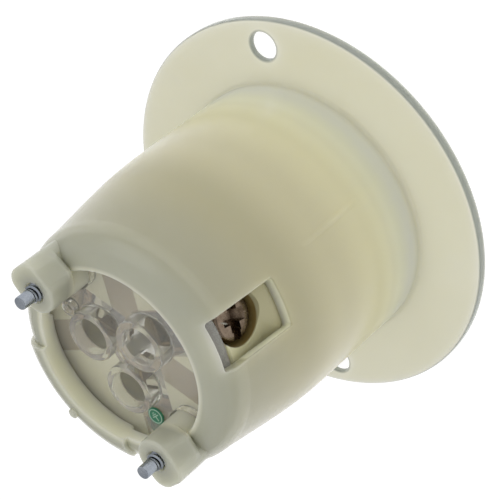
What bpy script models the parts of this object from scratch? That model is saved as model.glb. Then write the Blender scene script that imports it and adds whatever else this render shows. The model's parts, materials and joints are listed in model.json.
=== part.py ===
"""Panel-mount flanged outlet, three wires, as an assembly of separate pieces.

Frame: metres, +Z up. The flange's front face lies on z = 0 and the wiring end points up.
X runs through the two flange mounting holes. The two assembly screws lie on a line turned
30 degrees from X. Dimensions below are in millimetres and become metres in the meshes.
"""
import math

import bmesh
import bpy

MM = 0.001

# ---- driving dimensions, millimetres ----
GAP = 0.3                    # clearance kept between touching pieces
FLANGE_RADIUS = 41.3
FLANGE_THICKNESS = 2.3
FLANGE_EDGE_ROUND = 0.9
HOLE_OFFSET = 35.8           # mounting hole centre from the axis
HOLE_RADIUS = 3.1
COUNTERSINK_RADIUS = 4.6
COUNTERSINK_DEPTH = 1.0

BARREL_BASE_RADIUS = 28.0    # outer radius near the flange
BARREL_TAPER = 0.148         # radius lost per unit of height past the taper's start
TAPER_START = 35.0
TAPER_BLEND = 6.0
WALL = 2.5
BASE_FILLET = 0.8
SHOULDER_ROUND = 6.2         # outer rounding at the rear end of the barrel
SHOULDER_CENTRE_R = 18.95
REAR_RIM_Z = 60.3
OPENING_RADIUS = 18.3
RIM_UNDERSIDE_Z = 57.1

SCREW_LINE_DEG = 30.0        # line through both assembly screws
SCREW_OFFSET = 18.6
EAR_TOP_Z = 66.5
EAR_BOTTOM_Z = 40.0
EAR_HALF_WIDTH = 4.0
EAR_INNER_END = 14.2
EAR_OUTER_END = 24.2
EAR_CORNER = 2.8
EAR_EDGE = 0.6
NOTCH_GAP = 0.4              # round the ears in the retainer and the carrier
LIP_START_DEG = 62.0         # rear lip, measured from the screw line
LIP_END_DEG = 138.0
LIP_RISE = 1.15
NUB_DEG = 103.0

WINDOW_WIDTH = 9.8
WINDOW_BOTTOM_Z = 41.7
WINDOW_TOP_Z = 57.9

PLATE_RADIUS = 21.9          # terminal retainer
PLATE_BOTTOM_Z = 54.3
PLATE_TOP_Z = 56.8
TUBE_CIRCLE = 6.9
TUBE_OUTER = 5.15
TUBE_BORE = 3.7
TUBE_TOP_Z = 60.0
HUB_RADIUS = 2.3
HUB_TOP_Z = 58.6

CARRIER_TOP_Z = 54.0
CARRIER_BOTTOM_Z = 12.4
CARRIER_RADIUS = 22.0        # round the terminals; in front it follows the barrel's inside
CARRIER_FOOT_RADIUS = 24.6
FACE_RADIUS = 24.9
FACE_FRONT_Z = 0.5
FACE_REAR_Z = 12.1

SLOT_RADIUS = 10.5           # circle of the blade slots
SLOT_WIDTH = 2.2
SLOT_HALF_DEG = 22.0
LEAF = 0.8                   # contact sheet thickness
CONTACT_BOTTOM_Z = 13.2
CONTACT_BRIDGE_Z = 30.0
CONTACT_TOP_Z = 44.0
CONTACT_HALF_DEG = 14.0

TERMINAL_Z = 49.4            # height of the terminal screw axes
CLAMP_BOTTOM_Z = 44.4
CLAMP_TOP_Z = 52.7
CLAMP_HALF_WIDTH = 4.5
CLAMP_SIDE_WALL = 0.8
CLAMP_JAW_IN = -3.5          # along the terminal's own axis, from the wire centre
CLAMP_JAW_OUT = -2.8
CLAMP_NUT_IN = 5.2
CLAMP_NUT_OUT = 7.0
PRESS_IN = 3.4
PRESS_THICKNESS = 1.2
PRESS_NOSE = 0.5
SHANK_RADIUS = 2.35
SHANK_START = 4.9
HEAD_UNDERSIDE = 12.2
HEAD_TOP = 14.8
HEAD_RADIUS = 4.6
ACCESS_RADIUS = 5.4
ACCESS_STEP = 9.4            # where the wide access bore starts

ASSEMBLY_SHANK = 1.6
ASSEMBLY_BORE = 1.95
ASSEMBLY_TIP = 1.23
ASSEMBLY_TIP_Z = 70.35
ASSEMBLY_CREST_Z = 67.9
ASSEMBLY_HEAD_RADIUS = 3.3
ASSEMBLY_HEAD_Z = 1.3
ASSEMBLY_SEAT_Z = 3.4

# Terminals: position of the wire tube and direction of the screw, degrees from the screw line.
# The line terminal's screw is turned 19.5 degrees from the radius so that it faces its window.
TERMINALS = {
    "neutral": {"tube": 30.0, "screw": 30.0, "window": 30.0},
    "ground": {"tube": 150.0, "screw": 150.0, "window": 150.0},
    "line": {"tube": -90.0, "screw": -109.5, "window": -107.6},
}

ROUND_STEPS = 64
SMALL_STEPS = 32


# ---- basic tools ----
def clear_scene():
    for thing in list(bpy.data.objects):
        bpy.data.objects.remove(thing, do_unlink=True)


def material(name, colour, roughness, metallic=0.0, alpha=1.0):
    result = bpy.data.materials.new(name)
    result.use_nodes = True
    shader = result.node_tree.nodes["Principled BSDF"]
    shader.inputs["Base Color"].default_value = (*colour, 1.0)
    shader.inputs["Roughness"].default_value = roughness
    shader.inputs["Metallic"].default_value = metallic
    shader.inputs["Alpha"].default_value = alpha
    result.diffuse_color = (*colour, alpha)
    return result


def finish_mesh(name, bm):
    bmesh.ops.remove_doubles(bm, verts=bm.verts, dist=1e-7)
    bmesh.ops.recalc_face_normals(bm, faces=bm.faces)
    mesh = bpy.data.meshes.new(name)
    bm.to_mesh(mesh)
    bm.free()
    mesh.shade_smooth()
    mesh.set_sharp_from_angle(angle=math.radians(30))
    return mesh


def add_object(name, mesh, look, parent=None):
    result = bpy.data.objects.new(name, mesh)
    bpy.context.collection.objects.link(result)
    mesh.materials.append(look)
    result.parent = parent
    return result


def add_tool(name, mesh, parent=None):
    """A shape that only cuts or joins: it is left out of the model."""
    result = bpy.data.objects.new("tool_" + name, mesh)
    bpy.context.collection.objects.link(result)
    result.parent = parent
    result.hide_render = True
    result.display_type = "WIRE"
    return result


def combine(target, tool, operation="DIFFERENCE"):
    step = target.modifiers.new(tool.name, "BOOLEAN")
    step.operation = operation
    step.solver = "EXACT"
    step.object = tool


def add_axis(name, x, y, z, turn_deg, parent=None):
    result = bpy.data.objects.new(name, None)
    bpy.context.collection.objects.link(result)
    result.location = (x * MM, y * MM, z * MM)
    result.rotation_euler = (0.0, 0.0, math.radians(turn_deg))
    result.parent = parent
    return result


def polar(radius, degrees):
    angle = math.radians(degrees)
    return radius * math.cos(angle), radius * math.sin(angle)


def arc(centre_x, centre_y, radius, start_deg, end_deg, steps):
    points = []
    for step in range(steps + 1):
        x, y = polar(radius, start_deg + (end_deg - start_deg) * step / steps)
        points.append((centre_x + x, centre_y + y))
    return points


def circle(centre_x, centre_y, radius, steps=SMALL_STEPS):
    return arc(centre_x, centre_y, radius, 0.0, 360.0, steps)[:-1]


def lathe(name, profile, steps=ROUND_STEPS, start_deg=0.0, end_deg=360.0):
    """Turn a closed (radius, height) outline about Z, all round or over a sector."""
    bm = bmesh.new()
    whole = abs(end_deg - start_deg) >= 360.0
    count = steps if whole else steps + 1
    rings = []
    for step in range(count):
        angle_deg = start_deg + (end_deg - start_deg) * step / steps
        ring = []
        for radius, height in profile:
            x, y = polar(radius, angle_deg)
            ring.append(bm.verts.new((x * MM, y * MM, height * MM)))
        rings.append(ring)
    pairs = list(zip(rings, rings[1:]))
    if whole:
        pairs.append((rings[-1], rings[0]))
    for first, second in pairs:
        for index in range(len(profile)):
            after = (index + 1) % len(profile)
            bm.faces.new((first[index], second[index], second[after], first[after]))
    if not whole:
        bm.faces.new(rings[0])
        bm.faces.new(reversed(rings[-1]))
    return finish_mesh(name, bm)


def stack(name, layers):
    """Solid through outlines of equal point count, each at its own height."""
    bm = bmesh.new()
    rings = []
    for outline, height in layers:
        rings.append([bm.verts.new((x * MM, y * MM, height * MM)) for x, y in outline])
    for lower, upper in zip(rings, rings[1:]):
        for index in range(len(lower)):
            after = (index + 1) % len(lower)
            bm.faces.new((lower[index], lower[after], upper[after], upper[index]))
    bm.faces.new(reversed(rings[0]))
    bm.faces.new(rings[-1])
    return finish_mesh(name, bm)


def prism(name, outline, bottom, top):
    return stack(name, [(outline, bottom), (outline, top)])


def box(name, x0, x1, y0, y1, z0, z1):
    return prism(name, [(x0, y0), (x1, y0), (x1, y1), (x0, y1)], z0, z1)


def rod(name, sections, steps=SMALL_STEPS):
    """Round bar along +X: sections are (distance along X, radius)."""
    bm = bmesh.new()
    rings = []
    for distance, radius in sections:
        ring = []
        for y, z in circle(0.0, 0.0, radius, steps):
            ring.append(bm.verts.new((distance * MM, y * MM, z * MM)))
        rings.append(ring)
    for first, second in zip(rings, rings[1:]):
        for index in range(steps):
            after = (index + 1) % steps
            bm.faces.new((first[index], first[after], second[after], second[index]))
    bm.faces.new(reversed(rings[0]))
    bm.faces.new(rings[-1])
    return finish_mesh(name, bm)


def pin(name, sections, centre_x=0.0, centre_y=0.0, steps=SMALL_STEPS):
    """Round bar along +Z: sections are (height, radius)."""
    layers = [(circle(centre_x, centre_y, radius, steps), height) for height, radius in sections]
    return stack(name, layers)


def sector(name, inner, outer, half_deg, bottom, top, steps=8):
    """Curved slab between two radii, centred on +X."""
    outline = arc(0.0, 0.0, outer, -half_deg, half_deg, steps)
    outline += arc(0.0, 0.0, inner, half_deg, -half_deg, steps)
    return prism(name, outline, bottom, top)


# ---- outlines ----
def barrel_radius(height):
    past = height - TAPER_START
    return BARREL_BASE_RADIUS - BARREL_TAPER * 0.5 * (past + math.hypot(past, TAPER_BLEND))


def housing_profile():
    shoulder_z = REAR_RIM_Z - SHOULDER_ROUND
    top = FLANGE_THICKNESS
    points = [(FACE_RADIUS + GAP, 0.0), (FLANGE_RADIUS - 0.3, 0.0), (FLANGE_RADIUS, 0.3)]
    points += arc(FLANGE_RADIUS - FLANGE_EDGE_ROUND, top - FLANGE_EDGE_ROUND,
                  FLANGE_EDGE_ROUND, 0.0, 90.0, 3)
    base = barrel_radius(top + BASE_FILLET)
    points += arc(base + BASE_FILLET, top + BASE_FILLET, BASE_FILLET, 270.0, 180.0, 2)
    points += [(barrel_radius(height), height) for height in (24.0, 30.0, 35.0, 40.0, 47.0)]
    points += arc(SHOULDER_CENTRE_R, shoulder_z, SHOULDER_ROUND, 0.0, 90.0, 7)
    points += [(OPENING_RADIUS + 0.3, REAR_RIM_Z), (OPENING_RADIUS, REAR_RIM_Z - 0.3)]
    points += [(OPENING_RADIUS, RIM_UNDERSIDE_Z)]
    inner_round = SHOULDER_ROUND - WALL
    start = math.degrees(math.asin((RIM_UNDERSIDE_Z - shoulder_z) / inner_round))
    points += arc(SHOULDER_CENTRE_R, shoulder_z, inner_round, start, 0.0, 3)
    points += [(barrel_radius(height) - WALL, height) for height in (45.0, 36.0, 28.0)]
    points += [(FACE_RADIUS + GAP, 13.0)]
    return points


def lip_profile():
    """The rear rim raised by the lip's height, over the shoulder's upper part."""
    centre_z = REAR_RIM_Z - SHOULDER_ROUND + LIP_RISE
    top = REAR_RIM_Z + LIP_RISE
    points = [(OPENING_RADIUS, REAR_RIM_Z - 1.5), (22.0, 57.0)]
    points += arc(SHOULDER_CENTRE_R, centre_z, SHOULDER_ROUND, 15.0, 90.0, 8)
    points += [(OPENING_RADIUS + 0.3, top), (OPENING_RADIUS, top - 0.3)]
    return points


def ear_outline(grow=0.0):
    """Plan of an ear: half round at the inner end, rounded corners at the outer end."""
    half = EAR_HALF_WIDTH + grow
    corner = EAR_CORNER + grow
    outer = EAR_OUTER_END + grow
    points = arc(EAR_INNER_END + EAR_HALF_WIDTH, 0.0, half, 90.0, 270.0, 12)
    points += arc(outer - corner, -half + corner, corner, 270.0, 360.0, 5)
    points += arc(outer - corner, half - corner, corner, 0.0, 90.0, 5)
    return points


def ear_outlines(grow=0.0):
    """The two ears, half a turn apart."""
    outline = ear_outline(grow)
    return (("upper", outline), ("lower", [(-x, -y) for x, y in outline]))


# ---- housing ----
def build_housing(look, screw_frame):
    housing = add_object("flange_housing", lathe("flange_housing", housing_profile()), look)
    for (side, outline), (_, small) in zip(ear_outlines(), ear_outlines(-EAR_EDGE)):
        layers = [(outline, EAR_BOTTOM_Z), (outline, EAR_TOP_Z - EAR_EDGE), (small, EAR_TOP_Z)]
        combine(housing, add_tool("ear_" + side, stack("ear_" + side, layers), screw_frame), "UNION")
    lip = lathe("rear_lip", lip_profile(), 20, LIP_START_DEG, LIP_END_DEG)
    combine(housing, add_tool("rear_lip", lip, screw_frame), "UNION")
    nub_x, nub_y = polar(OPENING_RADIUS + 2.6, NUB_DEG)
    nub = pin("rear_nub", [(REAR_RIM_Z, 1.1), (REAR_RIM_Z + LIP_RISE + 0.3, 0.7)], nub_x, nub_y, 16)
    combine(housing, add_tool("rear_nub", nub, screw_frame), "UNION")
    for name, terminal in TERMINALS.items():
        frame = add_axis("window_axis_" + name, 0, 0, 0, terminal["window"], screw_frame)
        half = WINDOW_WIDTH / 2
        shape = box("window_" + name, 20.0, 30.0, -half, half, WINDOW_BOTTOM_Z, WINDOW_TOP_Z)
        combine(housing, add_tool("window_" + name, shape, frame))
    for side in (1, -1):
        tag = "right" if side > 0 else "left"
        sections = [(-1.0, COUNTERSINK_RADIUS + 1.0), (0.0, COUNTERSINK_RADIUS),
                    (COUNTERSINK_DEPTH, HOLE_RADIUS), (FLANGE_THICKNESS + 1.0, HOLE_RADIUS)]
        shape = pin("mounting_hole_" + tag, sections, side * HOLE_OFFSET, 0.0)
        combine(housing, add_tool("mounting_hole_" + tag, shape))
        bore = pin("ear_bore_" + tag, [(EAR_BOTTOM_Z - 1, ASSEMBLY_BORE), (EAR_TOP_Z + 1, ASSEMBLY_BORE)],
                   side * SCREW_OFFSET, 0.0, 20)
        combine(housing, add_tool("ear_bore_" + tag, bore, screw_frame))
    return housing


# ---- clear terminal retainer ----
def build_retainer(look, screw_frame):
    sections = [(PLATE_BOTTOM_Z, PLATE_RADIUS), (PLATE_BOTTOM_Z + 0.8, PLATE_RADIUS),
                (PLATE_TOP_Z, PLATE_RADIUS - 1.1)]
    shape = pin("terminal_retainer", sections, steps=ROUND_STEPS)
    plate = add_object("terminal_retainer", shape, look, screw_frame)
    for name, terminal in TERMINALS.items():
        x, y = polar(TUBE_CIRCLE, terminal["tube"])
        tube = pin("tube_" + name, [(PLATE_BOTTOM_Z + 0.5, TUBE_OUTER), (TUBE_TOP_Z - 0.3, TUBE_OUTER),
                                    (TUBE_TOP_Z, TUBE_OUTER - 0.3)], x, y)
        combine(plate, add_tool("tube_" + name, tube, screw_frame), "UNION")
    hub = pin("hub", [(PLATE_BOTTOM_Z + 0.6, HUB_RADIUS), (HUB_TOP_Z, HUB_RADIUS)], steps=20)
    combine(plate, add_tool("hub", hub, screw_frame), "UNION")
    post = pin("small_boss", [(PLATE_BOTTOM_Z + 0.7, 1.7), (PLATE_TOP_Z + 1.2, 1.7)], 12.4, 6.4, 20)
    combine(plate, add_tool("small_boss", post, screw_frame), "UNION")
    for name, terminal in TERMINALS.items():
        x, y = polar(TUBE_CIRCLE, terminal["tube"])
        bore = pin("wire_bore_" + name, [(PLATE_BOTTOM_Z - 1, TUBE_BORE), (TUBE_TOP_Z + 1, TUBE_BORE)], x, y)
        combine(plate, add_tool("wire_bore_" + name, bore, screw_frame))
    hole = pin("small_boss_hole", [(PLATE_TOP_Z, 0.8), (PLATE_TOP_Z + 2, 0.8)], 12.4, 6.4, 16)
    combine(plate, add_tool("small_boss_hole", hole, screw_frame))
    for side, outline in ear_outlines(NOTCH_GAP):
        shape = prism("retainer_notch_" + side, outline, PLATE_BOTTOM_Z - 1, PLATE_TOP_Z + 1)
        combine(plate, add_tool("retainer_notch_" + side, shape, screw_frame))
    return plate


# ---- inner nylon body ----
def build_carrier(look, screw_frame):
    sections = [(CARRIER_BOTTOM_Z, CARRIER_FOOT_RADIUS), (30.0, CARRIER_FOOT_RADIUS),
                (36.0, CARRIER_FOOT_RADIUS - 0.1), (41.0, CARRIER_FOOT_RADIUS - 0.7),
                (45.0, CARRIER_RADIUS), (CARRIER_TOP_Z, CARRIER_RADIUS)]
    shape = pin("contact_carrier", sections, steps=ROUND_STEPS)
    carrier = add_object("contact_carrier", shape, look, screw_frame)
    for side, outline in ear_outlines(NOTCH_GAP):
        shape = prism("carrier_notch_" + side, outline, EAR_BOTTOM_Z - GAP, CARRIER_TOP_Z + 1)
        combine(carrier, add_tool("carrier_notch_" + side, shape, screw_frame))
    for side in (1, -1):
        bore = pin("carrier_bore", [(CARRIER_BOTTOM_Z - 1, ASSEMBLY_BORE), (EAR_BOTTOM_Z, ASSEMBLY_BORE)],
                   side * SCREW_OFFSET, 0.0, 20)
        combine(carrier, add_tool("carrier_bore", bore, screw_frame))
    for name, terminal in TERMINALS.items():
        frame = terminal_frame(name, screw_frame, "pocket")
        pocket = box("clamp_pocket_" + name, CLAMP_JAW_IN - GAP, CLAMP_NUT_OUT + GAP,
                     -CLAMP_HALF_WIDTH - GAP, CLAMP_HALF_WIDTH + GAP,
                     CLAMP_BOTTOM_Z - GAP - TERMINAL_Z, CARRIER_TOP_Z + 1 - TERMINAL_Z)
        combine(carrier, add_tool("clamp_pocket_" + name, pocket, frame))
        access = rod("access_bore_" + name, [(ACCESS_STEP, ACCESS_RADIUS), (20.0, ACCESS_RADIUS)])
        combine(carrier, add_tool("access_bore_" + name, access, frame))
        shank = rod("shank_bore_" + name, [(CLAMP_NUT_IN, SHANK_RADIUS + 0.4),
                                           (ACCESS_STEP + 1.0, SHANK_RADIUS + 0.4)], 24)
        combine(carrier, add_tool("shank_bore_" + name, shank, frame))
        blade = add_axis("blade_axis_" + name, 0, 0, 0, terminal["tube"], screw_frame)
        fork = sector("fork_pocket_" + name, SLOT_RADIUS - 2.9, SLOT_RADIUS + 2.9, CONTACT_HALF_DEG + 5,
                      CARRIER_BOTTOM_Z - 1, CONTACT_BRIDGE_Z + 1.5)
        combine(carrier, add_tool("fork_pocket_" + name, fork, blade))
        riser = sector("riser_pocket_" + name, SLOT_RADIUS - 2.0, SLOT_RADIUS + 0.0, CONTACT_HALF_DEG + 1,
                       CONTACT_BRIDGE_Z + 1, CLAMP_BOTTOM_Z + 1)
        combine(carrier, add_tool("riser_pocket_" + name, riser, blade))
    return carrier


# ---- front insert ----
def build_face(look, screw_frame):
    sections = [(FACE_FRONT_Z, FACE_RADIUS - 0.6), (FACE_FRONT_Z + 0.6, FACE_RADIUS),
                (FACE_REAR_Z, FACE_RADIUS)]
    shape = pin("receptacle_face", sections, steps=ROUND_STEPS)
    face = add_object("receptacle_face", shape, look, screw_frame)
    for name, terminal in TERMINALS.items():
        frame = add_axis("slot_axis_" + name, 0, 0, 0, terminal["tube"], screw_frame)
        slot = sector("blade_slot_" + name, SLOT_RADIUS - SLOT_WIDTH / 2, SLOT_RADIUS + SLOT_WIDTH / 2,
                      SLOT_HALF_DEG, FACE_FRONT_Z - 1, FACE_REAR_Z + 1)
        combine(face, add_tool("blade_slot_" + name, slot, frame))
        if name == "ground":
            hook = box("ground_hook", SLOT_RADIUS - 3.2, SLOT_RADIUS, 2.2, 4.0,
                       FACE_FRONT_Z - 1, FACE_REAR_Z + 1)
            combine(face, add_tool("ground_hook", hook, frame))
    for side in (1, -1):
        sections = [(FACE_FRONT_Z - 1, ASSEMBLY_HEAD_RADIUS + 0.4),
                    (ASSEMBLY_SEAT_Z + GAP, ASSEMBLY_HEAD_RADIUS + 0.4),
                    (ASSEMBLY_SEAT_Z + GAP + 0.01, ASSEMBLY_BORE), (FACE_REAR_Z + 1, ASSEMBLY_BORE)]
        bore = pin("face_bore", sections, side * SCREW_OFFSET, 0.0, 24)
        combine(face, add_tool("face_bore", bore, screw_frame))
    return face


# ---- terminals ----
def terminal_frame(name, screw_frame, purpose):
    """Empty at the wire's centre and the screw's height, +X along the screw outwards."""
    terminal = TERMINALS[name]
    x, y = polar(TUBE_CIRCLE, terminal["tube"])
    return add_axis(purpose + "_axis_" + name, x, y, TERMINAL_Z, terminal["screw"], screw_frame)


def build_clamp_body(name, look, frame):
    bottom = CLAMP_BOTTOM_Z - TERMINAL_Z
    top = CLAMP_TOP_Z - TERMINAL_Z
    shape = box("clamp_body_" + name, CLAMP_JAW_IN, CLAMP_NUT_OUT,
                -CLAMP_HALF_WIDTH, CLAMP_HALF_WIDTH, bottom, top)
    body = add_object("clamp_body_" + name, shape, look, frame)
    inner = CLAMP_HALF_WIDTH - CLAMP_SIDE_WALL
    space = box("wire_space_" + name, CLAMP_JAW_OUT, CLAMP_NUT_IN, -inner, inner, bottom - 1, top + 1)
    combine(body, add_tool("wire_space_" + name, space, frame))
    thread = rod("nut_bore_" + name, [(CLAMP_NUT_IN - 1, SHANK_RADIUS + GAP),
                                      (CLAMP_NUT_OUT + 1, SHANK_RADIUS + GAP)], 24)
    combine(body, add_tool("nut_bore_" + name, thread, frame))
    return body


def build_pressure_plate(name, look, frame):
    half = CLAMP_HALF_WIDTH - CLAMP_SIDE_WALL - GAP
    nose = PRESS_IN - PRESS_NOSE
    back = PRESS_IN + PRESS_THICKNESS
    outline = [(PRESS_IN, -half), (nose, -half * 0.35), (nose, half * 0.35),
               (PRESS_IN, half), (back, half), (back, -half)]
    shape = prism("pressure_plate_" + name, outline, -3.6, 3.0)
    return add_object("pressure_plate_" + name, shape, look, frame)


def build_terminal_screw(name, look, frame):
    sections = [(SHANK_START, SHANK_RADIUS - 0.4), (SHANK_START + 0.5, SHANK_RADIUS),
                (HEAD_UNDERSIDE, SHANK_RADIUS), (HEAD_UNDERSIDE + 0.01, HEAD_RADIUS),
                (HEAD_TOP - 1.0, HEAD_RADIUS), (HEAD_TOP - 0.35, HEAD_RADIUS - 0.45),
                (HEAD_TOP, HEAD_RADIUS - 1.3)]
    screw = add_object("terminal_screw_" + name, rod("terminal_screw_" + name, sections), look, frame)
    slot = box("head_slot_" + name, HEAD_TOP - 1.1, HEAD_TOP + 1, -0.6, 0.6,
               -HEAD_RADIUS - 1, HEAD_RADIUS + 1)
    combine(screw, add_tool("head_slot_" + name, slot, frame))
    cross = box("head_cross_" + name, HEAD_TOP - 1.4, HEAD_TOP + 1, -2.3, 2.3, -0.65, 0.65)
    combine(screw, add_tool("head_cross_" + name, cross, frame))
    return screw


def build_contact(name, look, screw_frame):
    """Two leaves either side of the blade, a bridge, and a riser up to the clamp."""
    frame = add_axis("contact_axis_" + name, 0, 0, 0, TERMINALS[name]["tube"], screw_frame)
    inner = SLOT_RADIUS - 1.7
    outer = SLOT_RADIUS + 1.7
    shape = sector("contact_" + name, inner, outer, CONTACT_HALF_DEG, CONTACT_BOTTOM_Z, CONTACT_BRIDGE_Z + 1)
    contact = add_object("contact_" + name, shape, look, frame)
    gap = sector("blade_gap_" + name, inner + LEAF, outer - LEAF, CONTACT_HALF_DEG + 4,
                 CONTACT_BOTTOM_Z - 1, CONTACT_BRIDGE_Z)
    combine(contact, add_tool("blade_gap_" + name, gap, frame))
    riser = sector("riser_" + name, inner + 0.02, inner + 0.9, CONTACT_HALF_DEG - 1,
                   CONTACT_BRIDGE_Z + 0.4, CONTACT_TOP_Z)
    combine(contact, add_tool("riser_" + name, riser, frame), "UNION")
    return contact


def build_backup_spring(name, look, screw_frame):
    """Open clip round both leaves: outer band, inner band and one end web."""
    frame = add_axis("spring_axis_" + name, 0, 0, 0, TERMINALS[name]["tube"], screw_frame)
    inner = SLOT_RADIUS - 1.7 - GAP - 0.5
    outer = SLOT_RADIUS + 1.7 + GAP + 0.5
    shape = sector("backup_spring_" + name, inner, outer, CONTACT_HALF_DEG + 3.5, 16.0, 22.0)
    spring = add_object("backup_spring_" + name, shape, look, frame)
    shift = add_axis("spring_gap_axis_" + name, 0, 0, 0, 2.5, frame)
    space = sector("spring_space_" + name, inner + 0.5, outer - 0.5, CONTACT_HALF_DEG + 3.9, 15.0, 23.0)
    combine(spring, add_tool("spring_space_" + name, space, shift))
    return spring


# ---- assembly screws and mark ----
def build_assembly_screw(name, side, look, screw_frame):
    sections = [(ASSEMBLY_HEAD_Z, ASSEMBLY_HEAD_RADIUS - 0.7), (ASSEMBLY_HEAD_Z + 0.7, ASSEMBLY_HEAD_RADIUS),
                (ASSEMBLY_SEAT_Z, ASSEMBLY_HEAD_RADIUS), (ASSEMBLY_SEAT_Z + 0.01, ASSEMBLY_SHANK),
                (ASSEMBLY_CREST_Z, ASSEMBLY_SHANK), (ASSEMBLY_CREST_Z + 0.4, ASSEMBLY_TIP),
                (ASSEMBLY_TIP_Z - 0.25, ASSEMBLY_TIP), (ASSEMBLY_TIP_Z, ASSEMBLY_TIP - 0.25)]
    axis = add_axis(name + "_axis", side * SCREW_OFFSET, 0.0, 0.0, 0.0, screw_frame)
    screw = add_object(name, pin(name, sections, steps=24), look, axis)
    slot = box(name + "_slot", -4, 4, -0.5, 0.5, ASSEMBLY_HEAD_Z - 1, ASSEMBLY_HEAD_Z + 0.9)
    combine(screw, add_tool(name + "_slot", slot, axis))
    return screw


def build_ground_mark(look, screw_frame):
    shape = pin("ground_mark", [(PLATE_TOP_Z + 0.25, 1.8), (PLATE_TOP_Z + 0.6, 1.8)], -13.1, 4.9, 24)
    return add_object("ground_mark", shape, look, screw_frame)


def build_model():
    clear_scene()
    nylon = material("natural_nylon", (0.66, 0.65, 0.52), 0.35)
    inner_nylon = material("inner_nylon", (0.70, 0.68, 0.56), 0.45)
    clear = material("clear_polycarbonate", (0.85, 0.86, 0.84), 0.05, alpha=0.35)
    zinc = material("zinc_steel", (0.52, 0.55, 0.60), 0.28, 1.0)
    brass = material("brass", (0.58, 0.42, 0.20), 0.3, 1.0)
    nickel = material("nickel", (0.62, 0.60, 0.56), 0.3, 1.0)
    green_steel = material("green_steel", (0.05, 0.30, 0.14), 0.35, 0.6)
    bronze = material("contact_bronze", (0.62, 0.38, 0.22), 0.32, 1.0)
    spring_steel = material("spring_steel", (0.45, 0.45, 0.46), 0.3, 1.0)
    mark_green = material("mark_green", (0.02, 0.30, 0.14), 0.5)

    screw_frame = add_axis("screw_line", 0, 0, 0, SCREW_LINE_DEG)
    build_housing(nylon, screw_frame)
    build_retainer(clear, screw_frame)
    build_carrier(inner_nylon, screw_frame)
    build_face(inner_nylon, screw_frame)
    screw_looks = {"line": brass, "neutral": nickel, "ground": green_steel}
    for name in TERMINALS:
        frame = terminal_frame(name, screw_frame, "terminal")
        build_clamp_body(name, brass, frame)
        build_pressure_plate(name, spring_steel, frame)
        build_terminal_screw(name, screw_looks[name], frame)
        build_contact(name, bronze, screw_frame)
        build_backup_spring(name, spring_steel, screw_frame)
    build_assembly_screw("assembly_screw_upper", 1, zinc, screw_frame)
    build_assembly_screw("assembly_screw_lower", -1, zinc, screw_frame)
    build_ground_mark(mark_green, screw_frame)


build_model()
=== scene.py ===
"""Looks of the panel-mount flanged outlet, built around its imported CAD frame.

Lengths are millimetres in the code and become metres in the meshes. The flange's front face lies
on z = 0 and the wiring end points up. Angles of the rear end are counted from the screw line,
which runs through both assembly screws.
"""
import math

import bmesh
import bpy
from mathutils import Matrix, Vector
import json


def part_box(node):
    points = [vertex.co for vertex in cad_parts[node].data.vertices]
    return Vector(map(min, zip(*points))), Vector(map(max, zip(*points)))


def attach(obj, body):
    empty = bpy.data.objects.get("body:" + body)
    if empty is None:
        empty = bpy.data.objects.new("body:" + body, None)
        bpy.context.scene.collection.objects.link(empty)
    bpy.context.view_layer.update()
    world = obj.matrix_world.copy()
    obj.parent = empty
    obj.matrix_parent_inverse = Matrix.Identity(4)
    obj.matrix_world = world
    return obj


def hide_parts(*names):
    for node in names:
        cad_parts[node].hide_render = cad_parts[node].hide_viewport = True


MM = 0.001
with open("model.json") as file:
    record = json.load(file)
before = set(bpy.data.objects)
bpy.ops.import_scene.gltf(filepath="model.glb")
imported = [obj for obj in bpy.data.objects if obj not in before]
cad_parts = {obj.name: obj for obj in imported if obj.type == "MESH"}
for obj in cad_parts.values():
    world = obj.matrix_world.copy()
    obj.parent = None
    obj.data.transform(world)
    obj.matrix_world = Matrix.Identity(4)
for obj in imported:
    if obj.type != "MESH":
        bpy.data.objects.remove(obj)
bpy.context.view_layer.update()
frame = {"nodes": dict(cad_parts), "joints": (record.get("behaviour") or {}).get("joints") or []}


def cad_box(node):
    """Lowest and highest corner of a CAD node, in millimetres."""
    low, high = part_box(node)
    return low / MM, high / MM


# ---- sizes read from the frame ----
HOUSING_HIGH = cad_box("flange_housing")[1]
FLANGE_RADIUS = HOUSING_HIGH.x
EAR_TOP_Z = HOUSING_HIGH.z
SCREW_LOW, SCREW_HIGH = cad_box("assembly_screw_upper")
SCREW_CENTRE = (SCREW_LOW + SCREW_HIGH) / 2
SCREW_LINE = math.atan2(SCREW_CENTRE.y, SCREW_CENTRE.x)
SCREW_OFFSET = math.hypot(SCREW_CENTRE.x, SCREW_CENTRE.y)
PLATE_BOTTOM_Z = cad_box("terminal_retainer")[0].z
TUBE_TOP_Z = cad_box("terminal_retainer")[1].z
CARRIER_BOTTOM_Z = cad_box("contact_carrier")[0].z
CARRIER_TOP_Z = cad_box("contact_carrier")[1].z
FACE_FRONT_Z = cad_box("receptacle_face")[0].z
FACE_REAR_Z = cad_box("receptacle_face")[1].z
MARK_LOW, MARK_HIGH = cad_box("ground_mark")

# ---- housing, millimetres ----
FLANGE_THICKNESS = 2.3
FLANGE_ROUND = 0.6           # on its rear edge
FRONT_ROUND = 0.5
HOLE_OFFSET = 35.8
HOLE_RADIUS = 3.1
COUNTERSINK_RADIUS = 4.6
COUNTERSINK_DEPTH = 1.3
BARREL_RADIUS = 28.0
BARREL_TAPER = 0.148         # radius lost per unit of height behind the taper's start
TAPER_START = 35.0
TAPER_BLEND = 6.0
WALL = 2.5
BASE_FILLET = 0.8
SHOULDER_ROUND = 6.2
SHOULDER_CENTRE_R = 18.95
REAR_RIM_Z = 60.3
OPENING_RADIUS = 18.3
OPENING_ROUND = 0.35
RIM_UNDERSIDE_Z = 57.1
EAR_BOTTOM_Z = 40.0
EAR_HALF_WIDTH = 4.0
EAR_INNER_END = 14.2
EAR_OUTER_END = 24.2
EAR_CORNER = 2.8
EAR_EDGE = 0.6
EAR_FILLET = 1.8
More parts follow.
